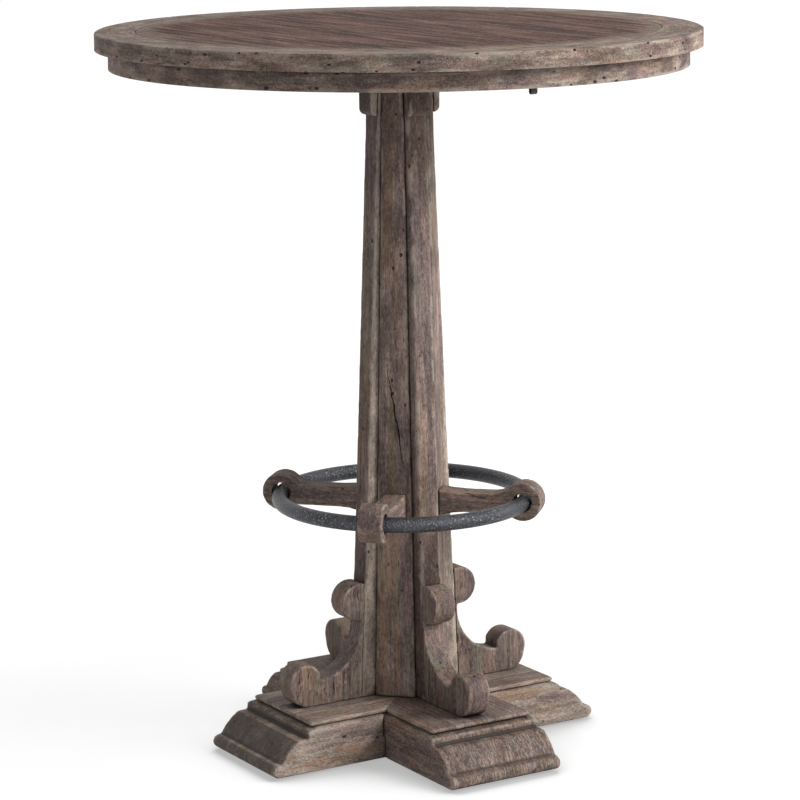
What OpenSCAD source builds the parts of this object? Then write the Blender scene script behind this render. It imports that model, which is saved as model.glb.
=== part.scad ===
// Pedestal bar table: a round top on a cross-shaped tapered column, four scroll
// brackets on a cross-lapped base with moulded ends, and an iron foot ring.
// Origin on the floor under the middle of the top, +Z up, millimetres.
// The feet point along X and Y. Front is -Y, left is -X.

/* [Top] */
// Height of the table top above the floor
top_height = 1067; // [1050:1:1085]
// Diameter of the table top
top_d = 880; // [850:2:910]
// Thickness of the centre panel and of the rim round it
top_t = 24.5; // [22:0.5:28]
// Width of the solid rim round the centre panel
rim_w = 59; // [50:1:66]
// Distance that the apron stands back from the rim's edge
apron_inset = 19; // [14:1:24]
// Depth of the apron below the rim
apron_h = 28; // [26:0.5:34]
// Width of the apron's boards from its outside to its inside
apron_w = 50; // [46:1:56]

/* [Column] */
// Thickness of the column's wings, of the brackets and of the ring arms
board_t = 36; // [34:0.5:38]
// Distance from the axis to the face of a wing at the foot of the column
wing_foot = 86.5; // [85:0.5:89]
// Distance from the axis to the face of a wing at the head of the column
wing_head = 45.5; // [44:0.5:50]
// Distance along X or Y at which a corner post meets a wing, at the foot
post_foot = 64; // [60:0.5:68]
// Distance along X or Y at which a corner post meets a wing, at the head
post_head = 42; // [38:0.5:43]
// Width of the bevel on the long edges of the corner posts
post_bevel = 7; // [4:0.5:8]
// Angle between a corner post's face and the bevels beside it
bevel_angle = 25; // [20:1:35]
// Width of the groove between a corner post's bevel and the wing beside it
groove_w = 2.5; // [1.5:0.1:3]
// Width that the stopped bevels take off the long edges of the wings
wing_bevel = 3.5; // [2:0.5:4]
// Distance from the axis to the face of a wing cap at the head
cap_reach = 59; // [56:0.5:62]
// Height of a wing cap below the top end of the column
cap_h = 74.5; // [66:0.5:84]

/* [Scroll brackets] */
// Height of a bracket above the top of the base
bracket_h = 175.5; // [172:0.5:180]
// Radius of the round at the head of a bracket
head_r = 28.5; // [27:0.5:30]
// Distance from the axis to the middle of the lower scroll
scroll_reach = 181; // [178:0.5:186]
// Radius of the lower scroll
scroll_r = 27; // [26:0.5:28.5]
// Radius of the hollow between the two rounds
hollow_r = 77; // [75:0.5:79]

/* [Foot ring] */
// Radius of the foot ring, to the middle of its bar
ring_r = 184.5; // [178:0.5:192]
// Diameter of the ring's bar
ring_bar_d = 22.5; // [20:0.5:24]
// Height of the middle of the ring's bar above the floor
ring_z = 371; // [360:1:385]
// Radius of the boss at the end of each ring arm
boss_r = 28.5; // [26:0.5:30]
// Diameter of the hole in a boss
boss_bore_d = 27; // [26.5:0.1:28]

/* [Base] */
// Distance from the axis to the nose of each foot
foot_reach = 281; // [275:1:295]
// Width of the two crossed base beams
beam_w = 186; // [180:2:192]
// Height of the base above the floor, on its levellers
floor_gap = 4; // [4:0.2:5]
// Thickness of a base beam
beam_h = 66; // [65:0.5:68]
// Thickness of the board on top of each foot
cap_t = 7; // [6:0.5:9]
// Radius of the roll at the bottom of each foot's nose
nose_r = 10; // [9:0.5:11]

/* [Levellers] */
// Diameter of a leveller's pad
pad_d = 34; // [28:1:38]
// Diameter of a leveller's stem
stem_d = 8; // [6:1:8]
// Distance from the axis to each leveller
leveller_reach = 235; // [225:1:240]

/* [Node] */
// Which piece to draw

/* [Hidden] */
$fn = 96;

e = 0.01;
w = board_t / 2;
top_r = top_d / 2;
panel_r = top_r - rim_w;
joint_gap = 0.6;
top_under = top_height - top_t;
apron_r = top_r - apron_inset;
apron_in = apron_r - apron_w;
base_top = floor_gap + beam_h + cap_t;
block_t = 25;
block_w = 240;
head_z = top_under - block_t;
col_h = head_z - base_top;
rod_d = 12;
rod_hole_d = 13;
nut_af = 18;
nut_h = 10;
washer_d = 24;
washer_t = 2.5;
counterbore_d = 34;
counterbore_h = 14;
dowel_d = 10;
arm_dowel_d = 8;
fit_gap = 0.1;
lap_z = floor_gap + beam_h / 2;
half_cap = beam_w / 2 - 8.5;

wood_dark = [0.33, 0.28, 0.27];
wood_mid = [0.42, 0.37, 0.34];
wood_pale = [0.52, 0.47, 0.43];
iron = [0.17, 0.17, 0.18];
steel = [0.55, 0.56, 0.58];
pad_grey = [0.22, 0.22, 0.23];

// Distance from the axis to a wing's face at height z
function wing_at(z) = wing_foot - (wing_foot - wing_head) * (z - base_top) / col_h;

// A block given by its lower and upper corners in the plane
module rect(x0, z0, x1, z1) {
    translate([x0, z0]) square([x1 - x0, z1 - z0]);
}

// A bar section from x0 to x1 whose outer corners are rounded
module rounded_edge(x0, z0, x1, z1, r_top, r_low) {
    rect(x0, z0 + r_low, x1, z1 - r_top);
    rect(x0, z0, x1 - r_low, z0 + r_low + e);
    rect(x0, z1 - r_top - e, x1 - r_top, z1);
    translate([x1 - r_top, z1 - r_top]) circle(r_top);
    translate([x1 - r_low, z0 + r_low]) circle(r_low);
}

// Turns a profile drawn in distance and height into a board along that distance
module board(t) {
    rotate([90, 0, 0]) linear_extrude(height = t, center = true) children();
}

// A wood screw with a flush head, its head face at the origin, pointing up
module wood_screw(d, len) {
    rotate_extrude() polygon([[0, 0], [d, 0], [d / 2, d / 2], [d / 2, len - d],
        [0.4, len], [0, len]]);
}

// The hole that a wood screw fills, a little larger all round
module screw_hole(d, len) {
    translate([0, 0, -e]) cylinder(d1 = 2 * d + 0.3, d2 = d + 0.3, h = d / 2 + 0.15);
    translate([0, 0, d / 2 - 0.1]) cylinder(d = d + 0.3, h = len - d / 2 + 0.3);
}

// Top: centre panel, rim and apron
module top_panel() {
    color(wood_dark) difference() {
        rotate_extrude() difference() {
            rounded_edge(0, top_under, panel_r - joint_gap, top_height, 1.2, 0.6);
            rect(-5, top_under - 1, 0, top_height + 1);
        }
        block_screw_places() screw_hole(5, 40);
        hook_screw_places() screw_hole(4, 16);
    }
}

module rim_segment(i) {
    color(wood_pale) rotate([0, 0, 60 * i - 45])
        rotate_extrude(angle = 60) difference() {
            rounded_edge(panel_r, top_under, top_r, top_height, 3, 2.5);
            // small step under the overhang
            rect(apron_r + 3, top_under - 1, top_r - 7, top_under + 0.8);
            // eased inner edge beside the joint
            translate([panel_r, top_height]) rotate(45) square(1.8, center = true);
        }
}

module apron_segment(i) {
    color(wood_mid) rotate([0, 0, 60 * i - 75])
        rotate_extrude(angle = 60)
            rounded_edge(apron_in, top_under - apron_h, apron_r, top_under, 1, 4);
}

// Block that joins the top to the column
module mounting_block() {
    color(wood_dark) difference() {
        translate([-block_w / 2, -block_w / 2, head_z]) cube([block_w, block_w, block_t]);
        for (a = [0:90:270]) rotate([0, 0, a])
            translate([block_w / 2, 0, head_z]) rotate([0, 45, 0])
                cube([11, block_w + 2, 11], center = true);
        translate([0, 0, head_z - 1]) cylinder(d = rod_hole_d, h = block_t + 2);
        translate([0, 0, top_under - counterbore_h])
            cylinder(d = counterbore_d, h = counterbore_h + 1);
        block_screw_places() screw_hole(5, 40);
    }
}

module block_screw_places() {
    for (a = [0:90:270]) rotate([0, 0, a]) for (s = [-1, 1])
        translate([98, s * 62, head_z]) children();
}

module block_screws() {
    color(steel) block_screw_places() wood_screw(5, 40);
}

// Hook for a bag, bent from one strip, open to the outside
hook_w = 9;
hook_t = 2;
hook_out = 350;
module bag_hook() {
    color(iron) rotate([0, 0, -90]) difference() {
        board(hook_w) {
            rect(hook_out - 44, top_under - hook_t, hook_out - 6, top_under);
            rect(hook_out - 8, 1002, hook_out - 6, top_under);
            rect(hook_out - 2, 1002, hook_out, 1012);
            translate([hook_out - 4, 1002]) difference() {
                circle(4);
                circle(2);
                rect(-5, 0, 5, 5);
            }
        }
        for (x = [hook_out - 38, hook_out - 18]) translate([x, 0, top_under - hook_t])
            screw_hole(4, 16);
    }
}

module hook_screw_places() {
    for (x = [hook_out - 38, hook_out - 18]) rotate([0, 0, -90])
        translate([x, 0, top_under - hook_t]) children();
}

module hook_screws() {
    color(steel) hook_screw_places() wood_screw(4, 16);
}

// Column: square core, four tapered wings and four bevelled corner posts
module column_core() {
    color(wood_dark) difference() {
        translate([-w, -w, base_top]) cube([board_t, board_t, col_h]);
        translate([0, 0, base_top - 1]) cylinder(d = rod_hole_d, h = col_h + 2);
    }
}

wing_lean = atan((wing_foot - wing_head) / col_h);
module wing(a) {
    color(wood_mid) rotate([0, 0, a]) difference() {
        translate([w, -w, base_top]) cube([wing_foot - w, board_t, col_h]);
        translate([wing_foot, -100, base_top]) rotate([0, -wing_lean, 0])
            translate([0, 0, -50]) cube([60, 200, col_h + 100]);
        // bevels that stop above the bracket
        for (s = [-1, 1]) scale([1, s, 1])
            translate([wing_foot - wing_bevel, w, base_top]) rotate([0, -wing_lean, 0])
                rotate([0, 0, 45]) translate([0, -30, bracket_h + 8])
                    cube([30, 60, col_h]);
        for (z = dowel_heights) translate([wing_at(z) - 20.5, 0, z]) rotate([0, 90, 0])
            cylinder(d = dowel_d + fit_gap, h = 40);
    }
}

post_lean = atan((post_foot - post_head) / sqrt(2) / col_h);
edge_lean = atan((post_foot - post_head) / col_h);
module post(a) {
    color(wood_dark) rotate([0, 0, a]) difference() {
        translate([0, 0, base_top]) linear_extrude(height = col_h)
            polygon([[w, w], [post_foot + 10, w], [w, post_foot + 10]]);
        // tapered face
        rotate([0, 0, 45]) translate([post_face(base_top), -100, base_top])
            rotate([0, -post_lean, 0]) translate([0, 0, -50]) cube([60, 200, col_h + 100]);
        // bevel beside the face and narrow groove beside each wing
        for (m = [0, 1]) mirror([m, -m, 0]) translate([post_foot, w + groove_w, base_top])
            rotate([0, -edge_lean, 0]) for (turn = [45 - bevel_angle, -31])
                rotate([0, 0, turn]) translate([0, -40, -50]) cube([40, 80, col_h + 100]);
        rotate([0, 0, 45]) for (z = arm_dowel_heights)
            translate([post_face(z) - 18.5, 0, z]) rotate([0, 90, 0])
                cylinder(d = arm_dowel_d + fit_gap, h = 40);
    }
}

// Distance from the axis to a corner post's face, along its diagonal
function post_edge(z) = post_foot - (post_foot - post_head) * (z - base_top) / col_h;
function post_face(z) = (post_edge(z) + w + groove_w) / sqrt(2)
    + post_bevel * sin(bevel_angle);

// Cap on a wing under the top, with a rounded lower edge
module wing_cap(a) {
    z0 = head_z - cap_h;
    r = min(10, cap_reach - wing_at(z0) - 0.2);
    color(wood_mid) rotate([0, 0, a]) board(board_t) intersection() {
        rounded_edge(20, z0, cap_reach, head_z, 2, r);
        polygon([[wing_at(z0), z0], [100, z0], [100, head_z], [wing_at(head_z), head_z]]);
    }
}

// Rod that ties the base, the column and the top together
module tie_rod() {
    color(steel) translate([0, 0, floor_gap + 1.5])
        cylinder(d = rod_d, h = top_under - floor_gap - 2.5);
}

module rod_nuts() {
    color(steel) for (z = [floor_gap + counterbore_h - washer_t - nut_h,
            top_under - counterbore_h + washer_t])
        translate([0, 0, z]) difference() {
            cylinder(d = nut_af / cos(30), h = nut_h, $fn = 6);
            translate([0, 0, -1]) cylinder(d = rod_d + fit_gap, h = nut_h + 2);
        }
}

module rod_washers() {
    color(steel) for (z = [floor_gap + counterbore_h - washer_t, top_under - counterbore_h])
        translate([0, 0, z]) difference() {
            cylinder(d = washer_d, h = washer_t);
            translate([0, 0, -1]) cylinder(d = rod_hole_d, h = washer_t + 2);
        }
}

// Arm from a corner post to the foot ring, bored for the ring's bar
arm_z = ring_z + 2;
arm_dowel_heights = [ring_z - 12, ring_z + 6];
module arm_outline() {
    z_top = arm_z + 11;
    z_low = arm_z - 19;
    foot = post_face(arm_z - 30);
    flare_low = 123;
    flare_top = 227;
    neck_r = 40;
    neck_u = ring_r - sqrt(pow(boss_r + neck_r, 2) - pow(11 + neck_r, 2));
    intersection() {
        union() {
            translate([ring_r, arm_z]) circle(boss_r);
            rect(foot, z_low, ring_r, z_top);
            // root that widens towards the post
            difference() {
                rect(foot, arm_z - 28, 98, arm_z + 15.5);
                translate([99, z_low - flare_low]) circle(flare_low);
                translate([99, z_top + flare_top]) circle(flare_top);
            }
            // hollow where the neck rises into the boss
            difference() {
                rect(neck_u, z_top - 5, ring_r - 17, arm_z + 23);
                translate([neck_u, z_top + neck_r]) circle(neck_r);
                rect(ring_r - 20, arm_z + 21.2, ring_r, arm_z + 30);
            }
        }
        polygon([[post_face(300), 300], [ring_r + 60, 300], [ring_r + 60, 450],
            [post_face(450), 450]]);
    }
}

module ring_arm(a) {
    color(wood_mid) rotate([0, 0, a]) difference() {
        board(board_t) arm_outline();
        translate([ring_r, 0, arm_z]) rotate([90, 0, 0])
            cylinder(d = boss_bore_d, h = board_t + 2, center = true);
        for (z = arm_dowel_heights) translate([post_face(z) - 5, 0, z]) rotate([0, 90, 0])
            cylinder(d = arm_dowel_d + fit_gap, h = 32.5);
        translate([ring_r, 0, arm_z - boss_r]) screw_hole(4, 20);
    }
}

module arm_dowels() {
    color(wood_pale) for (a = [45:90:315]) rotate([0, 0, a]) for (z = arm_dowel_heights)
        translate([post_face(z) - 18, 0, z]) rotate([0, 90, 0])
            cylinder(d = arm_dowel_d, h = 45);
}

module foot_ring() {
    color(iron) difference() {
        translate([0, 0, ring_z]) rotate_extrude() translate([ring_r, 0])
            circle(d = ring_bar_d);
        for (a = [45:90:315]) rotate([0, 0, a])
            translate([ring_r, 0, arm_z - boss_r]) cylinder(d = 4.3, h = 20.6);
    }
}

module ring_screws() {
    color(steel) for (a = [45:90:315]) rotate([0, 0, a])
        translate([ring_r, 0, arm_z - boss_r]) wood_screw(4, 20);
}

// Scroll bracket: a head round, a hollow, and a lower scroll on a heel
neck_at = 84;
dowel_heights = [base_top + 26, base_top + bracket_h - head_r];
module bracket_outline() {
    z0 = base_top;
    head_c = z0 + bracket_h - head_r;
    hollow_c = z0 + 38 + hollow_r;
    scroll_c = z0 + 37;
    heel_r = scroll_r + 1;
    inner = scroll_reach - 24.5;
    intersection() {
        union() {
            translate([neck_at + 5, head_c]) circle(head_r);
            difference() {
                polygon([[0, z0], [inner, z0], [inner, hollow_c], [neck_at, hollow_c],
                    [neck_at, head_c], [0, head_c]]);
                translate([neck_at + hollow_r, hollow_c]) circle(hollow_r);
            }
            rect(inner - 1, z0, scroll_reach - 3, scroll_c);
            intersection() {
                translate([scroll_reach, scroll_c]) circle(scroll_r);
                rect(inner, z0, scroll_reach + 40, scroll_c + 40);
            }
            intersection() {
                translate([scroll_reach - 3, z0 + heel_r]) circle(heel_r);
                rect(scroll_reach - 3, z0, scroll_reach + 40, scroll_c);
            }
        }
        polygon([[wing_at(z0), z0], [400, z0], [400, z0 + 300],
            [wing_at(z0 + 300), z0 + 300]]);
    }
}

module bracket(a) {
    color(wood_pale) rotate([0, 0, a]) difference() {
        board(board_t) bracket_outline();
        for (z = dowel_heights) translate([wing_at(z) - 8, 0, z]) rotate([0, 90, 0])
            cylinder(d = dowel_d + fit_gap, h = 28.5);
    }
}

module bracket_dowels() {
    color(wood_pale) for (a = [0:90:270]) rotate([0, 0, a]) for (z = dowel_heights)
        translate([wing_at(z) - 20, 0, z]) rotate([0, 90, 0])
            cylinder(d = dowel_d, h = 40);
}

// Moulded end of a foot: roll, double fillet, ovolo, shelf, bead and quirk
module foot_end_outline() {
    z0 = floor_gap;
    n = foot_reach;
    ovolo_r = 89;
    rect(0, z0, n - nose_r, z0 + 2 * nose_r);
    translate([n - nose_r, z0 + nose_r]) circle(nose_r);
    rect(0, z0, n - 19, z0 + 25);
    rect(0, z0 + 21.2, n - 15.8, z0 + 23.2);
    intersection() {
        translate([n - 90.2, z0 - 25.2]) circle(ovolo_r);
        rect(0, z0 + 24.4, n - 10, z0 + 51);
    }
    rect(0, z0, n - 65, beam_top - 3);
    translate([n - 65, beam_top - 9]) circle(6);
    rect(0, z0 + 40, n - 73, beam_top);
}

// Section across a foot, its upper edges rounded down beside the foot boards
beam_top = floor_gap + beam_h;
module beam_section() {
    r = 8;
    translate([0, floor_gap]) for (s = [-1, 1]) scale([s, 1]) {
        rect(-e, 0, beam_w / 2, beam_h - r);
        rect(-e, 0, beam_w / 2 - r, beam_h);
        translate([beam_w / 2 - r, beam_h - r]) circle(r);
    }
}

// Narrow grooves along the edges of the foot boards, outside the crossing
module quirks(a) {
    rotate([0, 0, a]) for (i = [-1, 1], j = [-1, 1]) scale([i, j, 1])
        translate([half_cap + 1.2, half_cap + 1.2, beam_top]) rotate([45, 0, 0])
            translate([0, -1.1, -1.1]) cube([foot_reach, 2.2, 2.2]);
}

module beam(a) {
    rotate([0, 0, a]) intersection() {
        board(beam_w + 10) for (s = [-1, 1]) scale([s, 1]) foot_end_outline();
        rotate([0, 0, 90]) board(2 * foot_reach + 10) beam_section();
    }
}

module beam_holes() {
    translate([0, 0, floor_gap - 1]) cylinder(d = rod_hole_d, h = beam_h + 2);
    translate([0, 0, floor_gap - 1]) cylinder(d = counterbore_d, h = counterbore_h + 1);
    lap_screw_places() screw_hole(6, 48);
    leveller_places() {
        translate([0, 0, floor_gap - 1]) cylinder(d = 22.2, h = 2.6);
        translate([0, 0, floor_gap]) cylinder(d = 11.1, h = 13.6);
        translate([0, 0, floor_gap]) cylinder(d = stem_d + 0.8, h = 44);
    }
}

module lap_screw_places() {
    for (x = [-58, 58], y = [-58, 58]) translate([x, y, floor_gap]) children();
}

module leveller_places() {
    for (a = [0:90:270]) rotate([0, 0, a]) translate([leveller_reach, 0, 0]) children();
}

// The beam along X keeps its lower half at the crossing, the other its upper
module beam_long() {
    color(wood_mid) difference() {
        beam(0);
        // housing coped to the other beam's rounded shoulders
        intersection() {
            beam(90);
            translate([-beam_w, -beam_w, lap_z]) cube([2 * beam_w, 2 * beam_w, beam_h]);
        }
        quirks(0);
        beam_holes();
    }
}

module beam_cross() {
    color(wood_mid) difference() {
        beam(90);
        translate([-beam_w, -beam_w / 2, lap_z - beam_h]) cube([2 * beam_w, beam_w, beam_h]);
        quirks(90);
        beam_holes();
    }
}

module lap_screws() {
    color(steel) lap_screw_places() wood_screw(6, 48);
}

// Board on top of a foot, mitred to its neighbours under the column
module foot_board(a) {
    end = foot_reach - 68;
    color(wood_mid) rotate([0, 0, a]) difference() {
        intersection() {
            translate([0, 0, beam_top]) linear_extrude(height = cap_t)
                polygon([[0, 0], [half_cap, half_cap], [end, half_cap],
                    [end, -half_cap], [half_cap, -half_cap]]);
            board(beam_w) {
                rect(-1, beam_top, end - cap_t / 2, base_top);
                translate([end - cap_t / 2, beam_top + cap_t / 2]) circle(d = cap_t);
            }
            rotate([0, 0, 90]) board(2 * end) for (s = [-1, 1]) scale([s, 1])
                rounded_edge(-e, beam_top, half_cap, base_top, 2.5, 1.5);
        }
        translate([0, 0, beam_top - 1]) cylinder(d = rod_hole_d, h = cap_t + 2);
    }
}

// Threaded insert in the underside of each foot
module t_nuts() {
    color(steel) leveller_places() translate([0, 0, floor_gap]) difference() {
        union() {
            cylinder(d = 22, h = 1.5);
            cylinder(d = 11, h = 13.5);
        }
        translate([0, 0, -1]) cylinder(d = stem_d + fit_gap, h = 16);
    }
}

// Screw-in foot, drawn screwed all the way in
module leveller(a) {
    color(pad_grey) rotate([0, 0, a]) translate([leveller_reach, 0, 0]) {
        rotate_extrude() difference() {
            rounded_edge(-e, 0, pad_d / 2, floor_gap - 0.4, 0.8, 1);
            rect(-1, -1, 0, floor_gap);
        }
        translate([0, 0, floor_gap - 0.5 - e]) cylinder(d = stem_d, h = 40.5);
    }
}

// Pieces by node
top_panel();
rim_segment(0);  // rim_1
rim_segment(1);  // rim_2
rim_segment(2);  // rim_3
rim_segment(3);  // rim_4
rim_segment(4);  // rim_5
rim_segment(5);  // rim_6
apron_segment(0);  // apron_1
apron_segment(1);  // apron_2
apron_segment(2);  // apron_3
apron_segment(3);  // apron_4
apron_segment(4);  // apron_5
apron_segment(5);  // apron_6
mounting_block();
block_screws();
bag_hook();
hook_screws();
column_core();
wing(0);  // wing_right
wing(90);  // wing_back
wing(180);  // wing_left
wing(270);  // wing_front
post(0);  // post_back_right
post(90);  // post_back_left
post(180);  // post_front_left
post(270);  // post_front_right
wing_cap(0);  // wing_cap_right
wing_cap(90);  // wing_cap_back
wing_cap(180);  // wing_cap_left
wing_cap(270);  // wing_cap_front
tie_rod();
rod_nuts();
rod_washers();
ring_arm(45);  // ring_arm_back_right
ring_arm(135);  // ring_arm_back_left
ring_arm(225);  // ring_arm_front_left
ring_arm(315);  // ring_arm_front_right
arm_dowels();
foot_ring();
ring_screws();
bracket(0);  // bracket_right
bracket(90);  // bracket_back
bracket(180);  // bracket_left
bracket(270);  // bracket_front
bracket_dowels();
beam_long();
beam_cross();
lap_screws();
foot_board(0);  // foot_board_right
foot_board(90);  // foot_board_back
foot_board(180);  // foot_board_left
foot_board(270);  // foot_board_front
t_nuts();
leveller(0);  // leveller_right
leveller(90);  // leveller_back
leveller(180);  // leveller_left
leveller(270);  // leveller_front
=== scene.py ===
"""Weathered pedestal bar table: worn wood, dark glaze and painted shade in the grooves, hammered
iron ring.
"""
import math

import bpy
import numpy as np
from mathutils import Matrix, Vector


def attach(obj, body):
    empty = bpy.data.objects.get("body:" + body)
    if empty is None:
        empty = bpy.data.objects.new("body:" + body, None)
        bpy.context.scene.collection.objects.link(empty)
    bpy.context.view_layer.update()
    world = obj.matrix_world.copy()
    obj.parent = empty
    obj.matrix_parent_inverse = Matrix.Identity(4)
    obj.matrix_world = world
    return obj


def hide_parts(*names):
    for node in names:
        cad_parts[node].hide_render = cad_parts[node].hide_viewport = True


bl_info = {
    "name": "Weathered bar table",
    "version": (1, 0, 0),
    "blender": (4, 5, 0),
    "location": "View3D > Sidebar > Bar table",
    "description": "Dresses the bar table's frame with worn wood and hammered iron",
    "category": "Object",
}

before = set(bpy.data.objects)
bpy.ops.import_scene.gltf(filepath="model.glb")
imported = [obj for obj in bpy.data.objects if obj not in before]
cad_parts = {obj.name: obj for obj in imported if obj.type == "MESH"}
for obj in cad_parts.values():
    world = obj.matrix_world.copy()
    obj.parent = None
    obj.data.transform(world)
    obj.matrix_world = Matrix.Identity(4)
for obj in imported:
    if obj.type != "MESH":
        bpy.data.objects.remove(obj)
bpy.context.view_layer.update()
TABLE = "table"
SIDES = ("right", "back", "left", "front")
CORNERS = ("back_right", "back_left", "front_left", "front_right")
BOARDS_ROUND = 6
UPRIGHT = (0, math.radians(90), 0)

# Sizes of the table that its worn copies follow, in metres

TOP_HEIGHT = 1.067
TOP_RADIUS = 0.440
TOP_THICKNESS = 0.0245
RIM_WIDTH = 0.059
APRON_INSET = 0.019
APRON_WIDTH = 0.050
APRON_HEIGHT = 0.028
BLOCK_THICKNESS = 0.025
COLUMN_FOOT = 0.077
HALF_BOARD = 0.018
WING_FOOT, WING_HEAD = 0.0865, 0.0455
POST_FOOT, POST_HEAD = 0.064, 0.042
GROOVE = 0.0025
# from the edge of a post to the level of its face, along the diagonal
POST_RISE = 0.00296

TOP_UNDER = TOP_HEIGHT - TOP_THICKNESS
PANEL_RADIUS = TOP_RADIUS - RIM_WIDTH
APRON_RADIUS = TOP_RADIUS - APRON_INSET
APRON_INSIDE = APRON_RADIUS - APRON_WIDTH
APRON_UNDER = TOP_UNDER - APRON_HEIGHT
COLUMN_HEAD = TOP_UNDER - BLOCK_THICKNESS

# How near to another piece a point keeps its place, and how far out the column stands on the
# foot boards, at most across and along a board

SEAT = 0.0025
FOOT_SEAT = 0.003
RIM_SEAT = 0.004
UNDER_SEAT = 0.0004
BOARD_SEAT = 0.0005
MITRE_SEAT = 0.004
UNDER_COLUMN = (0.05, 0.08)

# Where a finish, a painted shade or a painted highlight starts and ends, as heights or distances
# in metres

# Heights between which painted shade darkens the column towards its foot and under the table's top
SHADE_FOOT_HEIGHTS = (0.38, 0.29)
SHADE_HEAD_HEIGHTS = (0.84, 0.99)
# Heights and distances of the painted highlight on the wings' long sides
SIDE_HIGHLIGHT_HEAD = (0.99, 0.97)
SIDE_HIGHLIGHT_EDGE = (0.0145, 0.0170)
SIDE_HIGHLIGHT_OUT = (0.0240, 0.0280)
PANEL_FADE = (0.385, 0.425)
WRAP_RADIUS = 0.42
# How far the occlusion reaches that paints shade into grooves
GROOVE_REACH = 0.016

# How the meshes are worked; a knock has a name, the size, contrast and brightness of its
# clouds, its share of the dents' depth, and whether it falls on faces or edges

MERGE = 0.00002
WEIGHT_STEPS = 20
WEAR_REACH = 0.0011
CARVED_ANGLE = math.radians(38)
RING_ANGLE = math.radians(50)
KNOCKS = (("broad_knocks", 0.09, 1.0, 1.0, 0.35, "face"),
          ("small_knocks", 0.014, 3.6, 2.1, 0.75, "face"),
          ("nicks", 0.009, 4.5, 2.55, 0.9, "edge"))

# Drying checks: the length of their straight bits, how far they wander at each, and how far
# the wedge that cuts them stands out of the wood

CHECK_STEP = 0.004
CHECK_WANDER = 0.00045
CHECK_ABOVE = 0.004

POST_CHECKS = (((-0.0108, 0.580), (0.0145, 0.424), 0.0021, 0.007),
               ((0.0030, 0.742), (0.0050, 0.700), 0.0009, 0.004),
               ((0.0070, 0.262), (0.0085, 0.190), 0.0010, 0.004))
LEFT_BRACKET_CHECKS = ((0.100, 0.247, 0.232, 0.0012, 0.005),
                       (0.090, 0.2475, 0.226, 0.0016, 0.005),
                       (0.193, 0.131, 0.112, 0.0012, 0.005),
                       (0.178, 0.134, 0.119, 0.0014, 0.005),
                       (0.136, 0.119, 0.088, 0.0016, 0.005),
                       (0.151, 0.109, 0.094, 0.0010, 0.005))
FRONT_BRACKET_CHECKS = ((0.092, 0.236, 0.214, 0.0012, 0.004),
                        (0.184, 0.128, 0.106, 0.0012, 0.004))
ARM_CHECK = ((0.080, 0.388), (0.140, 0.377), 0.0016, 0.005)
ARM_SIDE = 0.0181
BOARD_END = 0.2145
BOARD_CHECKS = ((0.165, -0.031, 0.0018, 0.004),
                (0.180, 0.012, 0.0018, 0.004),
                (0.150, 0.049, 0.0018, 0.004))
BOARD_SLANT = 0.002

# The photo's camera, solved from the ellipses of the top and of the foot ring, the lamp and
# the floor

CAMERA_LENS = 137.96
CAMERA_BACK = 4.45978
CAMERA_HEIGHT = 1.41149
CAMERA_TURN = math.radians(-31.7)
CAMERA_PITCH = math.radians(11.34)
CAMERA_ROLL = math.radians(-0.53)
CAMERA_YAW = math.radians(-0.04)
KEY_PLACE = (3.1, -3.4, 3.2)
KEY_SIZE = 2.8
FLOOR_SIZE = 30.0
WHITE = (1.0, 1.0, 1.0)


def shade(red, green, blue):
    """A colour given as it looks on a screen, 0 to 255, as scene linear values."""
    def linear(c):
        c /= 255.0
        return c / 12.92 if c <= 0.04045 else ((c + 0.055) / 1.055) ** 2.4
    return (linear(red), linear(green), linear(blue))


# Settings

def colour(name, about, value):
    return bpy.props.FloatVectorProperty(
        name=name, description=about, subtype="COLOR", size=3, min=0.0, max=1.0,
        default=value)


def length(name, about, value, low, high):
    return bpy.props.FloatProperty(
        name=name, description=about, default=value, min=low, max=high,
        unit="LENGTH", precision=4)


def amount(name, about, value, high=1.0):
    return bpy.props.FloatProperty(
        name=name, description=about, default=value, min=0.0, max=high,
        subtype="FACTOR" if high == 1.0 else "NONE")


class BarTableWear(bpy.types.PropertyGroup):
    column_grid: length("Column grid", "Mesh size of the column's boards", 0.0024, 0.0015, 0.006)
    small_grid: length("Bracket grid", "Mesh size of brackets and arms", 0.0017, 0.0012, 0.004)
    base_grid: length("Base grid", "Mesh size of the beams", 0.0023, 0.0015, 0.006)
    board_grid: length("Foot board grid", "Mesh size of the boards on the feet", 0.0016, 0.0012,
                       0.004)
    dent: length("Dent depth", "How deep knocks go into a face", 0.0009, 0.0, 0.003)


class BarTableColours(bpy.types.PropertyGroup):
    # The dark stain also paints the shade towards the column's foot and under the table's top
    dark: colour("Dark stain", "Wood in the deep grain", shade(76, 59, 54))
    mid: colour("Stain", "Most of the wood", shade(121, 102, 94))
    # Worn wood also paints the highlight on the wings' long sides
    pale: colour("Worn wood", "Rubbed streaks and edges", shade(178, 163, 150))
    ochre: colour("Warm wood", "Patches where the stain is thin", shade(132, 104, 80))
    violet: colour("Violet stain", "Patches of violet brown stain", shade(92, 74, 77))
    green: colour("Grey green wash", "Thin wash along the bevels", shade(120, 117, 103))
    rose: colour("Rose wash", "Pinkish bare wood", shade(150, 124, 114))
    faded: colour("Faded wood", "Wood at the panel's edge, its stain gone", shade(140, 126, 113))
    # Glaze also paints the shade in grooves, corners and hollows
    glaze_and_shade: colour("Glaze", "Dark glaze in grooves and hollows", shade(40, 32, 30))
    hole: colour("Worm holes", "Inside of the worm holes", shade(18, 14, 13))
    iron: colour("Iron", "Hammered foot ring", shade(74, 75, 79))
    # Also paints the glints on the foot ring's high spots
    iron_worn_and_glint: colour("Worn iron", "High spots of the foot ring", shade(138, 140, 146))


class BarTableStage(bpy.types.PropertyGroup):
    key: bpy.props.FloatProperty(name="Key light", description="Power of the large soft lamp",
                                 default=280.0, min=0.0, subtype="POWER")
    sky: amount("Sky", "Strength of the even light all round", 0.36, 2.0)


# Shader helpers

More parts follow.
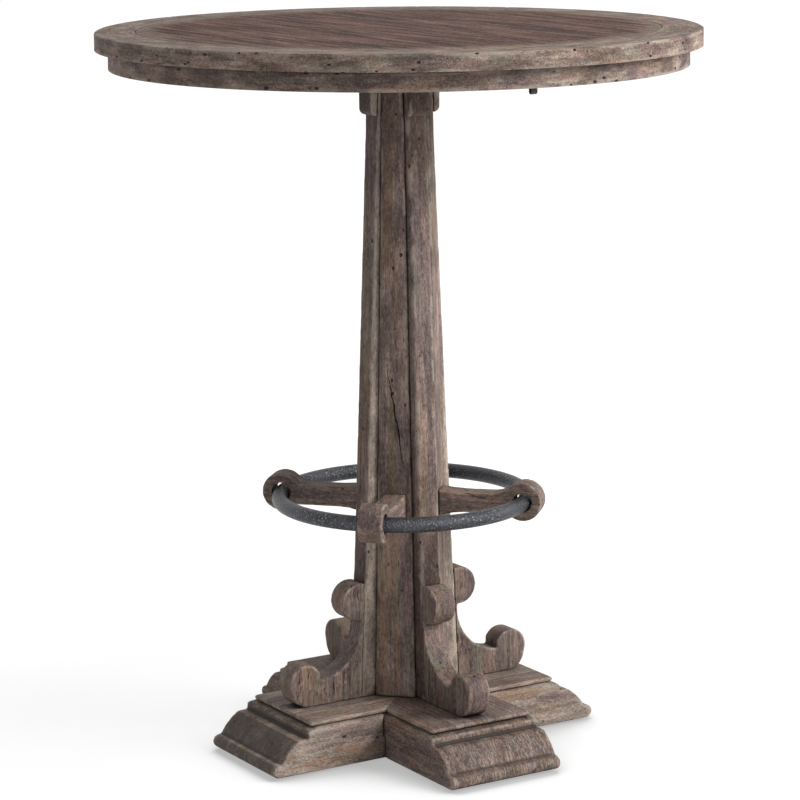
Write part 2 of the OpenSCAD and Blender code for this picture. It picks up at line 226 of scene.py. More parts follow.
class Web:
    """Adds nodes to a node tree and links them; a value may be a socket or a constant."""

    def __init__(self, tree):
        self.tree = tree

    def put(self, kind, values=(), **settings):
        node = self.tree.nodes.new(kind)
        for key, value in settings.items():
            setattr(node, key, value)
        for key, value in dict(values).items():
            self.feed(node.inputs[key], value)
        return node

    def feed(self, socket, value):
        if isinstance(value, bpy.types.NodeSocket):
            self.tree.links.new(value, socket)
        elif socket.type == "RGBA" and len(value) == 3:
            socket.default_value = (*value, 1.0)
        else:
            socket.default_value = value

    def math(self, operation, a, b=0.0, clamp=False):
        return self.put("ShaderNodeMath", {0: a, 1: b}, operation=operation,
                        use_clamp=clamp).outputs[0]

    def times(self, a, b):
        return self.math("MULTIPLY", a, b)

    def plus(self, a, b):
        return self.math("ADD", a, b)

    def weighted(self, first, *others):
        """The sum of some layers, each given as a value and its weight."""
        total = self.times(*first)
        for layer in others:
            total = self.plus(total, self.times(*layer))
        return total

    def vector(self, operation, a, b=(0.0, 0.0, 0.0)):
        node = self.put("ShaderNodeVectorMath", {0: a, 1: b}, operation=operation)
        return node.outputs["Value" if operation == "LENGTH" else 0]

    def join(self, x=0.0, y=0.0, z=0.0):
        return self.put("ShaderNodeCombineXYZ", {0: x, 1: y, 2: z}).outputs[0]

    def split(self, vector):
        """The x, y and z of vector."""
        return self.put("ShaderNodeSeparateXYZ", {0: vector}).outputs[:]

    def radius(self, x, y):
        """Distance from the Z axis."""
        return self.vector("LENGTH", self.join(x, y))

    def turned(self, vector, rotation, location=(0.0, 0.0, 0.0)):
        return self.put("ShaderNodeMapping", {"Vector": vector, "Rotation": rotation,
                                              "Location": location}).outputs[0]

    def ramp(self, value, low, high, start=0.0, end=1.0):
        """A smooth step from start, where value is low, to end, where it is high."""
        return self.put("ShaderNodeMapRange", {"Value": value, "From Min": low, "From Max": high,
                                               "To Min": start, "To Max": end},
                        interpolation_type="SMOOTHSTEP").outputs["Result"]

    def blend(self, factor, a, b, kind="MIX"):
        node = self.put("ShaderNodeMix", data_type="RGBA", blend_type=kind)
        # the node has a set of sockets for each kind of value; these are the colours'
        for index, value in ((0, factor), (6, a), (7, b)):
            self.feed(node.inputs[index], value)
        return node.outputs[2]

    def noise(self, vector, scale, detail=3.0, rough=0.55):
        return self.put("ShaderNodeTexNoise", {"Vector": vector, "Scale": scale, "Detail": detail,
                                               "Roughness": rough}).outputs["Fac"]

    def streaks(self, vector, along, across, detail=3.0, rough=0.55):
        """Noise of one scale along X and another across it."""
        stretched = self.vector("MULTIPLY", vector, (along, across, across))
        return self.noise(stretched, 1.0, detail, rough)

    def effect(self, name, values):
        """The shared group of that name, placed with values; returns its outputs."""
        return self.put("ShaderNodeGroup", values, node_tree=effects()[name]).outputs

    def seen(self):
        """1 for rays that show a surface to the camera, also in a mirror or through glass."""
        path = self.put("ShaderNodeLightPath").outputs
        seen = self.math("MAXIMUM", path["Is Camera Ray"], path["Is Glossy Ray"])
        return self.math("MAXIMUM", seen, path["Is Transmission Ray"])

    def show(self, shader, kind="ShaderNodeOutputMaterial"):
        """Makes shader the surface that the tree shows."""
        self.put(kind, {"Surface": shader.outputs[0]})


def new_material(name):
    """A material with no nodes yet, and the web that fills it."""
    mat = bpy.data.materials.new(name)
    mat.use_nodes = True
    mat.node_tree.nodes.clear()
    return mat, Web(mat.node_tree)


def node_group(name, inputs, outputs):
    """A new shader group with named sockets; returns its tree and web, what goes into it and
    the node that takes what comes out."""
    tree = bpy.data.node_groups.new(name, "ShaderNodeTree")
    for label, kind, value in inputs:
        socket = tree.interface.new_socket(label, in_out="INPUT", socket_type=kind)
        if value is not None:
            socket.default_value = value
    for label in outputs:
        tree.interface.new_socket(label, in_out="OUTPUT", socket_type="NodeSocketFloat")
    web = Web(tree)
    return tree, web, web.put("NodeGroupInput").outputs, web.put("NodeGroupOutput")


FLOAT, VECTOR = "NodeSocketFloat", "NodeSocketVector"
GRAIN_LAYERS = ("Patch", "Tint", "Wash", "Streak", "Fibre", "Pore", "Mottle", "Speck", "Height")


def grain_group():
    """Grain along X: patches, two tints, streaks, fibres, pores, mottling and a height."""
    tree, web, into, out = node_group(
        "Weathered grain",
        [("Vector", VECTOR, None), ("Shortness", FLOAT, 1.0), ("Wave", FLOAT, 0.008)],
        GRAIN_LAYERS)
    place = web.vector("MULTIPLY", into["Vector"], web.join(into["Shortness"], 1.0, 1.0))
    bend = web.streaks(place, 2.6, 9.0, 2.0)
    bend = web.times(web.math("SUBTRACT", bend, 0.5), into["Wave"])
    bent = web.vector("ADD", place, web.join(0.0, bend, bend))

    def layer(along, across, detail, rough, start=(0.0, 0.0, 0.0)):
        return web.streaks(web.vector("ADD", bent, start), along, across, detail, rough)
    patch = layer(5.0, 30.0, 4.0, 0.6)
    tint = layer(3.5, 42.0, 3.0, 0.55, (3.1, 1.7, 5.3))
    wash = layer(6.0, 64.0, 4.0, 0.6, (8.2, 4.4, 1.9))
    streak = layer(10.0, 210.0, 6.0, 0.66)
    fibre = layer(75.0, 950.0, 4.0, 0.7)
    pore = layer(130.0, 780.0, 2.0, 0.5, (1.3, 6.1, 2.7))
    mottle = layer(110.0, 210.0, 6.0, 0.7)
    speck = layer(190.0, 430.0, 3.0, 0.75)
    height = web.weighted((streak, 0.5), (fibre, 0.25), (mottle, 0.45), (speck, 0.4))
    layers = (patch, tint, wash, streak, fibre, pore, mottle, speck, height)
    for label, value in zip(GRAIN_LAYERS, layers):
        web.feed(out.inputs[label], value)
    return tree


def wormhole_group():
    """Small round holes left by beetles, on a share of scattered points."""
    tree, web, into, out = node_group(
        "Worm holes",
        [("Vector", VECTOR, None), ("Per Metre", FLOAT, 90.0), ("Share", FLOAT, 0.12),
         ("Radius", FLOAT, 0.0016)], ["Mask"])
    cell = web.put("ShaderNodeTexVoronoi", {"Vector": into["Vector"],
                                            "Scale": into["Per Metre"]}).outputs
    pick = web.put("ShaderNodeSeparateColor", {0: cell["Color"]}).outputs
    size = web.times(web.times(into["Radius"], into["Per Metre"]), web.plus(pick["Green"], 0.5))
    inside = web.math("SUBTRACT", web.math("DIVIDE", cell["Distance"], size), 0.8)
    chosen = web.math("LESS_THAN", pick["Red"], into["Share"])
    web.feed(out.inputs["Mask"], web.times(web.ramp(inside, 0.4, 0.0), chosen))
    return tree


def wear_group():
    """Ridges rubbed pale and hollows that take glaze and painted shade, from the wear stored on
    the mesh.
    """
    tree, web, into, out = node_group(
        "Edge wear", [("Vector", VECTOR, None), ("Wear", FLOAT, 0.0)], ["Ridge", "Hollow"])
    uneven = web.streaks(into["Vector"], 26.0, 70.0, 5.0, 0.65)
    ridge = web.times(into["Wear"], web.ramp(uneven, 0.34, 0.66, 0.1, 1.5))
    web.feed(out.inputs["Ridge"], web.ramp(ridge, 0.30, 1.2))
    web.feed(out.inputs["Hollow"], web.ramp(into["Wear"], -0.15, -0.6))
    return tree


EFFECTS = {}


def effects():
    """The shared groups, built at the first call."""
    if not EFFECTS:
        EFFECTS.update(grain=grain_group(), holes=wormhole_group(), wear=wear_group())
    return EFFECTS


class Wood(Web):
    """A wood material whose paint is laid on in coats, over grain that runs along X after
    turn. around wraps the grain round the Z axis, short shortens it."""

    def __init__(self, name, turn, shift, around, short):
        self.material, web = new_material(name)
        super().__init__(web.tree)
        self.ink = bpy.context.scene.bar_table_colours
        coords = self.put("ShaderNodeTexCoord").outputs
        self.place, self.facing = coords["Object"], coords["Normal"]
        self.x, self.y, self.z = self.split(self.place)
        along = self.place if around is None else self.wrapped(around)
        self.along = self.turned(along, turn, shift)
        grain = self.effect("grain", {"Vector": self.along, "Shortness": short})
        (self.patch, self.tint, self.wash, self.streak, self.fibre, self.pore, self.mottle,
         self.speck, self.height) = [grain[label] for label in GRAIN_LAYERS]
        self.stored = self.put("ShaderNodeAttribute", attribute_name="wear").outputs["Fac"]
        self.wear = self.effect("wear", {"Vector": self.along, "Wear": self.stored})

    def wrapped(self, around):
        """The place measured round the Z axis, out from it and up, from the angle around."""
        x, y, z = self.split(self.turned(self.place, (0, 0, around)))
        angle = self.math("ARCTAN2", y, x)
        return self.join(self.times(angle, WRAP_RADIUS), self.radius(x, y), z)

    def tinge(self, mask, strength, ink):
        """Lays ink over the paint where mask is high."""
        self.paint = self.blend(self.times(mask, strength), self.paint, ink)

    def tone_by(self, level, factor=1.0):
        """Multiplies the paint by level."""
        self.paint = self.blend(factor, self.paint, level, "MULTIPLY")

    def stain_grain(self, tone, ochre, violet, green, rose, pale):
        """Dark and mid stain along the grain, pale streaks, and patches of four tints."""
        ink = self.ink
        level = self.weighted((self.streak, 0.42), (self.patch, 0.30), (self.mottle, 0.28))
        level = self.plus(level, tone)
        self.paint = self.blend(self.ramp(level, 0.42, 0.50), ink.dark, ink.mid)
        self.tinge(self.ramp(level, 0.51, 0.60), pale, ink.pale)
        self.tinge(self.ramp(self.tint, 0.52, 0.59), ochre, ink.ochre)
        self.tinge(self.ramp(self.tint, 0.48, 0.41), violet, ink.violet)
        self.tinge(self.ramp(self.wash, 0.53, 0.61), green, ink.green)
        self.tinge(self.ramp(self.wash, 0.47, 0.39), rose, ink.rose)

    def shade_column_ends(self, foot, top):
        """Painted shade: darkens the wood towards the column's foot and, as a painted shadow of
        the table's top, towards its head.
        """
        low = self.times(self.ramp(self.z, *SHADE_FOOT_HEIGHTS), foot)
        high = self.times(self.ramp(self.z, *SHADE_HEAD_HEIGHTS), top)
        self.tinge(self.math("MAXIMUM", low, high), 1.0, self.ink.dark)

    def highlight_and_bleach_sides(self, strength):
        """Paints the long sides of the left and right wings paler, up to and over their edges: a
        painted highlight of the lit side, with some bleached wood. It falls on both sides of each
        wing alike and fades out near the column's head.
        """
        side = self.times(self.ramp(self.math("ABSOLUTE", self.y), *SIDE_HIGHLIGHT_EDGE),
                          self.ramp(self.math("ABSOLUTE", self.x), *SIDE_HIGHLIGHT_OUT))
        side = self.times(side, self.ramp(self.patch, 0.36, 0.56, 0.45, 1.0))
        side = self.times(side, self.ramp(self.z, *SIDE_HIGHLIGHT_HEAD))
        self.tinge(side, strength, self.ink.pale)

    def rub_panel(self, strength):
        """Long rubbed streaks between dark ones."""
        worn = self.streaks(self.along, 5.0, 130.0, 4.0, 0.6)
        self.tinge(self.ramp(worn, 0.52, 0.58), 0.9 * strength, self.ink.rose)
        self.tinge(self.ramp(worn, 0.48, 0.43), strength, self.ink.dark)

    def fade_edge(self, strength):
        """Takes the paint off near the panel's edge; returns how much stain is kept there."""
        out = self.plus(self.radius(self.x, self.y), self.times(self.wash, 0.10))
        gone = self.times(self.ramp(out, *PANEL_FADE), strength)
        self.tinge(gone, 1.0, self.ink.faded)
        return self.math("SUBTRACT", 1.0, gone)

    def scratch(self, strength):
        """Fine pale scratches across the grain."""
        across = self.turned(self.along, (0.6, 0.5, 0.7))
        lines = self.ramp(self.streaks(across, 45.0, 900.0, 1.0, 0.5), 0.60, 0.68)
        self.tinge(self.times(lines, self.ramp(self.mottle, 0.48, 0.56)), strength, self.ink.pale)

    def vary(self, speckle, cloudy):
        """Fibres, flecks and broad patches where more or less stain was wiped off."""
        self.tone_by(self.ramp(self.fibre, 0.32, 0.68, 0.70, 1.25))
        self.tone_by(self.ramp(self.speck, 0.38, 0.62, 1 - speckle, 1 + speckle))
        wiped = self.streaks(self.along, 16.0, 36.0, 3.0, 0.6)
        self.tone_by(self.ramp(wiped, 0.40, 0.60, 1 - 1.2 * cloudy, 1 + cloudy))

    def stroke_and_shade_ends(self, axis, strength, level):
        """Short upright strokes on the moulded ends that face along axis, and painted light and
        shade on those ends: their paint is multiplied by level.
        """
        squeeze = (90.0, 620.0, 90.0) if axis == "x" else (620.0, 90.0, 90.0)
        strokes = self.noise(self.vector("MULTIPLY", self.place, squeeze), 1.0, 4.0, 0.65)
        out = self.split(self.facing)["xyz".index(axis)]
        face = self.ramp(self.math("ABSOLUTE", out), 0.25, 0.5)
        self.tinge(self.times(self.ramp(strokes, 0.49, 0.42), face), 1.1 * strength, self.ink.dark)
        self.tinge(self.times(self.ramp(strokes, 0.53, 0.60), face), strength, self.ink.pale)
        # Painted shade where level is below 1, painted light where it is above 1
        self.tone_by((level,) * 3, face)
        self.height = self.plus(self.height, self.times(strokes, self.times(face, 1.2 * strength)))

    def glaze_wear_and_shade(self, glaze_and_shade):
        """Pale and dark pores, rubbed ridges, and dark glaze in grooves and hollows that is partly
        painted shade, from an occlusion term.
        """
        ink = self.ink
        self.tinge(self.ramp(self.pore, 0.41, 0.33), 0.35, ink.pale)
        self.tinge(self.wear["Ridge"], 0.6, ink.pale)
        self.tinge(self.ramp(self.pore, 0.62, 0.69), 0.7, ink.glaze_and_shade)
        # Painted shade: occlusion darkens grooves, corners and hollows with the glaze colour, as
        # though shaded
        shade_in_hollows = self.put("ShaderNodeAmbientOcclusion", {"Distance": GROOVE_REACH},
                        samples=8).outputs["AO"]
        shade_in_hollows = self.math("ADD", self.ramp(shade_in_hollows, 0.72, 0.25), self.wear["Hollow"], clamp=True)
        self.tinge(shade_in_hollows, glaze_and_shade, ink.glaze_and_shade)

    def drill(self, share, pitted):
        """Worm holes on a share of the places for them, and on pitted more along edges."""
        share = self.plus(share, self.times(self.ramp(self.stored, 0.05, 0.4), pitted))
        pits = self.effect("holes", {"Vector": self.vector("MULTIPLY", self.along, (0.6, 1, 1)),
                                     "Share": share})["Mask"]
        self.tinge(pits, 0.93, self.ink.hole)
        self.height = self.math("SUBTRACT", self.height, self.times(pits, 1.4))

    def close(self, gloss):
        """Ends the material in one surface."""
        bump = self.put("ShaderNodeBump", {"Strength": 0.8, "Distance": 0.0012,
                                           "Height": self.height})
        self.show(self.put("ShaderNodeBsdfPrincipled", {
            "Base Color": self.paint, "Roughness": self.ramp(self.fibre, 0.3, 0.7, 0.55, 0.8),
            "Normal": bump.outputs[0], "Specular IOR Level": gloss}))
        return self.material


def weathered_wood(name, turn=(0.0, 0.0, 0.0), shift=(0.0, 0.0, 0.0), around=None, short=1.0,
                   tone=0.0, ochre=0.6, violet=0.6, green=0.4, rose=0.4, pale=0.6, glaze_and_shade=0.85,
                   holes=0.10, pitted=0.0, ends=None, rubbed=0.0, faded=0.0, stain=None,
                   scratch=0.3, gloss=0.3, speckle=0.22, cloudy=0.14, column_shade=None, side_highlight_and_bleach=0.0):
    """One of the table's woods. turn, shift, around and short place its grain, tone lightens
    it, ochre, violet, green, rose and pale are the strengths of its tints, and gloss is that
    of its shine. stain is a colour that darkens all of it, save where a faded edge has lost
    it. The other values are those of the coats in Wood: ends holds the axis, the strength and
    the level of the strokes on moulded ends, the level painting shade on them below 1 and light
    above 1, and a pair of values sets the painted shade of the column at foot and top."""
    wood = Wood(name, turn, shift, around, short)
    wood.stain_grain(tone, ochre, violet, green, rose, pale)
    if column_shade is not None:
        wood.shade_column_ends(*column_shade)
    if side_highlight_and_bleach:
        wood.highlight_and_bleach_sides(side_highlight_and_bleach)
    if rubbed:
        wood.rub_panel(rubbed)
    kept = wood.fade_edge(faded) if faded else 1.0
    wood.scratch(scratch)
    wood.vary(speckle, cloudy)
    if stain is not None:
        wood.tone_by(stain, kept)
    if ends is not None:
        wood.stroke_and_shade_ends(*ends)
    wood.glaze_wear_and_shade(glaze_and_shade)
    wood.drill(holes, pitted)
    return wood.close(gloss)


def hammered_iron():
    """Charcoal iron, hammered, with grey high spots that are partly worn iron and partly painted
    glints.
    """
    ink = bpy.context.scene.bar_table_colours
    mat, web = new_material("hammered_iron")
    place = web.put("ShaderNodeTexCoord").outputs["Object"]
    dimple = web.put("ShaderNodeTexVoronoi", {"Vector": place, "Scale": 460.0},
                     feature="SMOOTH_F1").outputs["Distance"]
    grit = web.noise(place, 800.0, 4.0, 0.75)
    cloud = web.noise(place, 34.0, 4.0, 0.6)
    height = web.plus(dimple, web.times(grit, 0.7))
    # Grey spots on the hammered high points: partly worn iron, partly painted glints
    worn_spots_and_glints = web.times(web.ramp(height, 0.80, 1.15), web.ramp(cloud, 0.36, 0.58, 0.25, 0.9))
    paint = web.blend(web.ramp(cloud, 0.35, 0.65), ink.iron, [0.6 * c for c in ink.iron])
    paint = web.blend(worn_spots_and_glints, paint, ink.iron_worn_and_glint)
    bump = web.put("ShaderNodeBump", {"Strength": 0.9, "Distance": 0.0013, "Height": height})
    web.show(web.put("ShaderNodeBsdfPrincipled", {
        "Base Color": paint, "Metallic": 0.7, "Roughness": web.ramp(grit, 0.3, 0.7, 0.26, 0.46),
        "Normal": bump.outputs[0]}))
    return mat


def plain_finish(name, base, metallic, rough, grain):
    """A quieter finish for pieces that are hidden or seen only from below."""
    mat, web = new_material(name)
    place = web.put("ShaderNodeTexCoord").outputs["Object"]
    grit = web.noise(place, grain, 4.0, 0.65)
    paint = web.blend(web.ramp(grit, 0.35, 0.65), [0.8 * c for c in base], base)
    bump = web.put("ShaderNodeBump", {"Strength": 0.3, "Distance": 0.0004, "Height": grit})
    web.show(web.put("ShaderNodeBsdfPrincipled", {
        "Base Color": paint, "Metallic": metallic,
        "Roughness": web.ramp(grit, 0.3, 0.7, rough, rough + 0.2), "Normal": bump.outputs[0]}))
    return mat


# Pieces

def only(piece):
    """Leaves nothing selected but piece."""
    bpy.ops.object.select_all(action="DESELECT")
    piece.select_set(True)
    bpy.context.view_layer.objects.active = piece


def edit(piece):
    """Enters edit mode on piece with everything selected."""
    only(piece)
    bpy.ops.object.mode_set(mode="EDIT")
    bpy.ops.mesh.select_mode(type="VERT")
    bpy.ops.mesh.select_all(action="SELECT")


def leave():
    bpy.ops.object.mode_set(mode="OBJECT")


def finish(piece, material):
    """Leaves piece with material and no other."""
    piece.data.materials.clear()
    piece.data.materials.append(material)


def coat(nodes, material):
    """Gives CAD pieces a material and leaves their shape as it is."""
    for node in nodes:
        finish(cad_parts[node], material)


def points_of(piece):
    """The mesh's points, a row of x, y and z for each."""
    co = np.empty(len(piece.data.vertices) * 3)
    piece.data.vertices.foreach_get("co", co)
    return co.reshape(-1, 3)


def drift(co, wavelength, dice):
    """A slow random level over points, from 0 to 1, of waves that run in all directions."""
    waves, spread = 9, 6.0
    level = np.zeros(len(co))
    for _ in range(waves):
        way = dice.normal(size=3)
        way /= np.linalg.norm(way)
        wave = wavelength * dice.uniform(0.5, 2.2)
        level += np.sin(2 * math.pi * (co @ way) / wave + dice.uniform(0, 6.28))
    return np.clip(0.5 + level / spread, 0, 1)


def weigh(piece, name, weights):
    """A vertex group with the given weight at each point, in even steps from 0 to 1."""
    group = piece.vertex_groups.new(name=name)
    steps = np.round(weights * WEIGHT_STEPS).astype(int)
    for step in range(1, WEIGHT_STEPS + 1):
        members = np.nonzero(steps == step)[0]
        if len(members):
            group.add(members.tolist(), step / WEIGHT_STEPS, "REPLACE")


def apply_all(piece):
    """Applies all modifiers of piece."""
    only(piece)
    for modifier in list(piece.modifiers):
        bpy.ops.object.modifier_apply(modifier=modifier.name)


def store_wear(piece):
    """Stores on each point how far it stands out from those round it, from -1 to 1."""
    mesh = piece.data
    count = len(mesh.vertices)
    co = points_of(piece)
    normal = np.empty(count * 3)
    mesh.vertices.foreach_get("normal", normal)
    ends = np.empty(len(mesh.edges) * 2, dtype=np.int32)
    mesh.edges.foreach_get("vertices", ends)
    a, b = ends[0::2], ends[1::2]
    share = np.maximum(np.bincount(a, minlength=count) + np.bincount(b, minlength=count), 1)

    def soften(values, rounds):
        for _ in range(rounds):
            values = np.stack([(np.bincount(a, values[b, i], count)
                                + np.bincount(b, values[a, i], count)) / share
                               for i in range(values.shape[1])], axis=1)
        return values
    lift = ((co - soften(co, 8)) * normal.reshape(-1, 3)).sum(axis=1)
    wear = soften(np.clip(lift / WEAR_REACH, -1, 1)[:, None], 1)[:, 0]
    stored = mesh.attributes.get("wear") or mesh.attributes.new("wear", "FLOAT", "POINT")
    stored.data.foreach_set("value", wear.astype(np.float32))
    return wear


def knock_texture(name, size, contrast, bright):
    """The clouds of one kind of knock, made at the first call and kept between 0 and 1."""
    texture = bpy.data.textures.get(name)
    if texture is None:
        texture = bpy.data.textures.new(name, "CLOUDS")
        texture.noise_scale = size
        texture.noise_depth = 3
        texture.contrast = contrast
        texture.intensity = bright
        texture.use_clamp = True
    return texture


def wear_down(piece, passes, seed, low, knocks, seat=None):
    """Rubs the edges of piece round, in so many passes, from the share low of their strength
    to all of it, and knocks dents into its faces and a few nicks into its edges, knocks times
    as deep as set. seat tells which points lie against another piece and stay as they are."""
    depth = bpy.context.scene.bar_table_wear.dent * knocks
    co = points_of(piece)
    free = np.ones(len(co)) if seat is None else 1.0 - seat(*co.T)
    dice = np.random.default_rng(seed)
    weigh(piece, "rub", (low + (1 - low) * drift(co, 0.09, dice)) * free)
    rub = piece.modifiers.new("rub", "SMOOTH")
    rub.factor = 0.8
    rub.iterations = passes
    rub.vertex_group = "rub"
    apply_all(piece)
    edge = np.clip(store_wear(piece) * 2.2 - 0.2, 0, 1)
    weigh(piece, "face", free * (1 - edge))
    weigh(piece, "edge", free * edge)
    for name, size, contrast, bright, part, where in KNOCKS:
        dent = piece.modifiers.new(name, "DISPLACE")
        dent.texture = knock_texture(name, size, contrast, bright)
        dent.texture_coords = "LOCAL"
        dent.mid_level = 1.0
        dent.strength = depth * part
        dent.vertex_group = where
    apply_all(piece)
    piece.vertex_groups.clear()
    store_wear(piece)


def hand_over(piece, node, material):
    """Names piece after its node, lets it ride and puts it in the node's place."""
    piece.name = "worn_" + node
    piece.data.name = piece.name
    finish(piece, material)
    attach(piece, TABLE)
    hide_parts(node)


def worn_copy(node, material, grid, passes, seed, low=0.25, knocks=1.0, seat=None, checks=()):
    """A copy of a CAD piece with its edges rubbed round, its faces knocked and its checks
    (drying cracks) cut into it."""
    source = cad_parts[node]
    piece = bpy.data.objects.new("worn", source.data.copy())
    bpy.context.scene.collection.objects.link(piece)
    edit(piece)
    bpy.ops.mesh.remove_doubles(threshold=MERGE)
    leave()
    if piece.data.has_custom_normals:
        bpy.ops.mesh.customdata_custom_splitnormals_clear()
    skin = piece.modifiers.new("skin", "REMESH")
    skin.mode = "VOXEL"
    skin.voxel_size = grid
    apply_all(piece)
    wear_down(piece, passes, seed, low, knocks, seat)
    for check in checks:
        cut_check(piece, seed, *check)
    only(piece)
    bpy.ops.object.shade_smooth_by_angle(angle=CARVED_ANGLE)
    hand_over(piece, node, material)
    return piece


def cut_check(piece, seed, start, end, inward, wide, deep):
    """Cuts a wavy drying check from start to end into piece, tapering to both ends."""
    start, end, inward = Vector(start), Vector(end), Vector(inward).normalized()
    along = end - start
    side = along.cross(inward).normalized()
    dice = np.random.default_rng(seed + int(1000 * along.length))
    steps = max(8, int(along.length / CHECK_STEP))
    rows, wander = [], 0.0
    for i in range(steps + 1):
        t = i / steps
        wander += dice.normal() * CHECK_WANDER
        belly = math.sin(math.pi * t)
        open_by = wide * (0.12 + belly ** 0.6) * dice.uniform(0.6, 1.25)
        middle = start + along * t + side * wander
        rows += [middle - inward * CHECK_ABOVE - side * open_by * 0.9,
                 middle - inward * CHECK_ABOVE + side * open_by * 0.9,
                 middle + inward * deep * (0.35 + 0.65 * belly)]
    faces = [(0, 2, 1), (3 * steps, 3 * steps + 1, 3 * steps + 2)]
    for i in range(steps):
        for j, k in ((0, 1), (1, 2), (2, 0)):
            faces.append((3 * i + j, 3 * i + k, 3 * i + 3 + k, 3 * i + 3 + j))
    mesh = bpy.data.meshes.new("wedge")
    mesh.from_pydata(rows, [], faces)
    wedge = bpy.data.objects.new("wedge", mesh)
    bpy.context.scene.collection.objects.link(wedge)
    edit(wedge)
    bpy.ops.mesh.normals_make_consistent(inside=False)
    leave()
    cut = piece.modifiers.new("check", "BOOLEAN")
    cut.object = wedge
    cut.solver = "EXACT"
    apply_all(piece)
    bpy.data.objects.remove(wedge)


def worn_ring(name, material, sides, start, cells, steps, seed, passes):
    """A ring spun as one, worn as one and then parted into its boards, the first from the
    angle start. sides is inner and outer radius and low and high edge, cells the parts
    across and up, steps the parts round it."""
    x0, x1, z0, z1 = sides
    bpy.ops.object.select_all(action="DESELECT")
    bpy.ops.mesh.primitive_grid_add(x_subdivisions=cells[0], y_subdivisions=cells[1], size=1.0,
                                    rotation=(math.radians(90), 0, 0),
                                    location=((x0 + x1) / 2, 0, (z0 + z1) / 2))
    ring = bpy.context.object
    ring.scale = (x1 - x0, z1 - z0, 1)
    bpy.ops.object.transform_apply(location=True, rotation=True, scale=True)
    edit(ring)
    bpy.ops.mesh.region_to_loop()
    bpy.ops.mesh.select_mode(type="VERT")
    bpy.ops.mesh.select_all(action="INVERT")
    bpy.ops.mesh.delete(type="VERT")
    bpy.ops.mesh.select_all(action="SELECT")
    bpy.ops.transform.rotate(value=math.radians(-start), orient_axis="Z",
                             center_override=(0, 0, 0))
    bpy.ops.mesh.spin(steps=steps, angle=2 * math.pi, center=(0, 0, 0), axis=(0, 0, 1))
    bpy.ops.mesh.select_all(action="SELECT")
    bpy.ops.mesh.remove_doubles(threshold=MERGE)
    bpy.ops.mesh.normals_make_consistent(inside=False)
    leave()
    wear_down(ring, passes, seed, low=0.35, knocks=1.0,
              seat=lambda x, y, z: (np.hypot(x, y) < x0 + RIM_SEAT) | (z < z0 + UNDER_SEAT))
    middles = np.empty(len(ring.data.polygons) * 3)
    ring.data.polygons.foreach_get("center", middles)
    middles = middles.reshape(-1, 3)
    turn = (np.degrees(np.arctan2(middles[:, 1], middles[:, 0])) - start) % 360
    board = (turn // (360 // BOARDS_ROUND)).astype(int)
    for i in range(BOARDS_ROUND):
        piece = ring.copy()
        piece.data = ring.data.copy()
        bpy.context.scene.collection.objects.link(piece)
        piece.data.vertices.foreach_set("select", np.zeros(len(piece.data.vertices), dtype=bool))
        piece.data.edges.foreach_set("select", np.zeros(len(piece.data.edges), dtype=bool))
        piece.data.polygons.foreach_set("select", board != i)
        only(piece)
        bpy.context.tool_settings.mesh_select_mode = (False, False, True)
        bpy.ops.object.mode_set(mode="EDIT")
        bpy.ops.mesh.delete(type="FACE")
        bpy.ops.mesh.select_mode(type="EDGE")
        bpy.ops.mesh.select_all(action="DESELECT")
        bpy.ops.mesh.select_non_manifold()
        bpy.ops.mesh.fill_holes(sides=0)
        leave()
        bpy.context.tool_settings.mesh_select_mode = (True, False, False)
        only(piece)
        bpy.ops.object.shade_smooth_by_angle(angle=RING_ANGLE)
        hand_over(piece, "%s_%d" % (name, i + 1), material)
    mesh = ring.data
    bpy.data.objects.remove(ring)
    bpy.data.meshes.remove(mesh)


def taper(foot, head, z):
    """What is foot at the column's foot and head at its head, at height z."""
    return foot - (foot - head) * (z - COLUMN_FOOT) / (COLUMN_HEAD - COLUMN_FOOT)


def wing_face(z):
    """Distance from the axis to a wing's face at height z."""
    return taper(WING_FOOT, WING_HEAD, z)


def post_face(z):
    """Distance from the axis to a corner post's face at height z, along its diagonal."""
    edge = taper(POST_FOOT, POST_HEAD, z)
    return (edge + HALF_BOARD + GROOVE) * math.sqrt(0.5) + POST_RISE


def on_diagonals(right, left, z):
    """The point right along the front right diagonal and left along the front left one."""
    return ((right - left) * math.sqrt(0.5), -(right + left) * math.sqrt(0.5), z)


class BARTABLE_OT_top(bpy.types.Operator):
    """Dress the centre panel, the rim and the apron"""
    bl_idname = "bar_table.top"
    bl_label = "Top"
    bl_options = {"REGISTER", "UNDO"}

    def execute(self, context):
        panel = weathered_wood("panel_wood", turn=(0, 0, math.radians(90)), tone=-0.045,
                               ochre=0.3, violet=0.4, green=0.05, rose=0.35, pale=0.1,
                               holes=0.03, rubbed=1.0, scratch=0.15, gloss=0.05,
                               stain=(0.72, 0.61, 0.59), faded=0.8)
        coat(["top_panel"], panel)
        rim = weathered_wood("rim_wood", around=math.radians(-15), short=3.0, tone=0.045,
                             ochre=0.3, violet=0.35, green=0.55, rose=0.5, pale=0.7,
                             holes=0.3, pitted=0.6, scratch=0.45, gloss=0.15, cloudy=0.22)
        worn_ring("rim", rim, (PANEL_RADIUS, TOP_RADIUS, TOP_UNDER, TOP_HEIGHT), start=-45,
                  cells=(26, 11), steps=1140, seed=11, passes=7)
        apron = weathered_wood("apron_wood", around=math.radians(15), short=3.0,
                               shift=(0.3, 0.1, 0.0), tone=0.03, ochre=0.3, violet=0.65,
                               rose=0.6, holes=0.2, pitted=0.4, scratch=0.4, cloudy=0.30)
        worn_ring("apron", apron, (APRON_INSIDE, APRON_RADIUS, APRON_UNDER, TOP_UNDER),
                  start=-75, cells=(18, 10), steps=960, seed=21, passes=6)
        return {"FINISHED"}


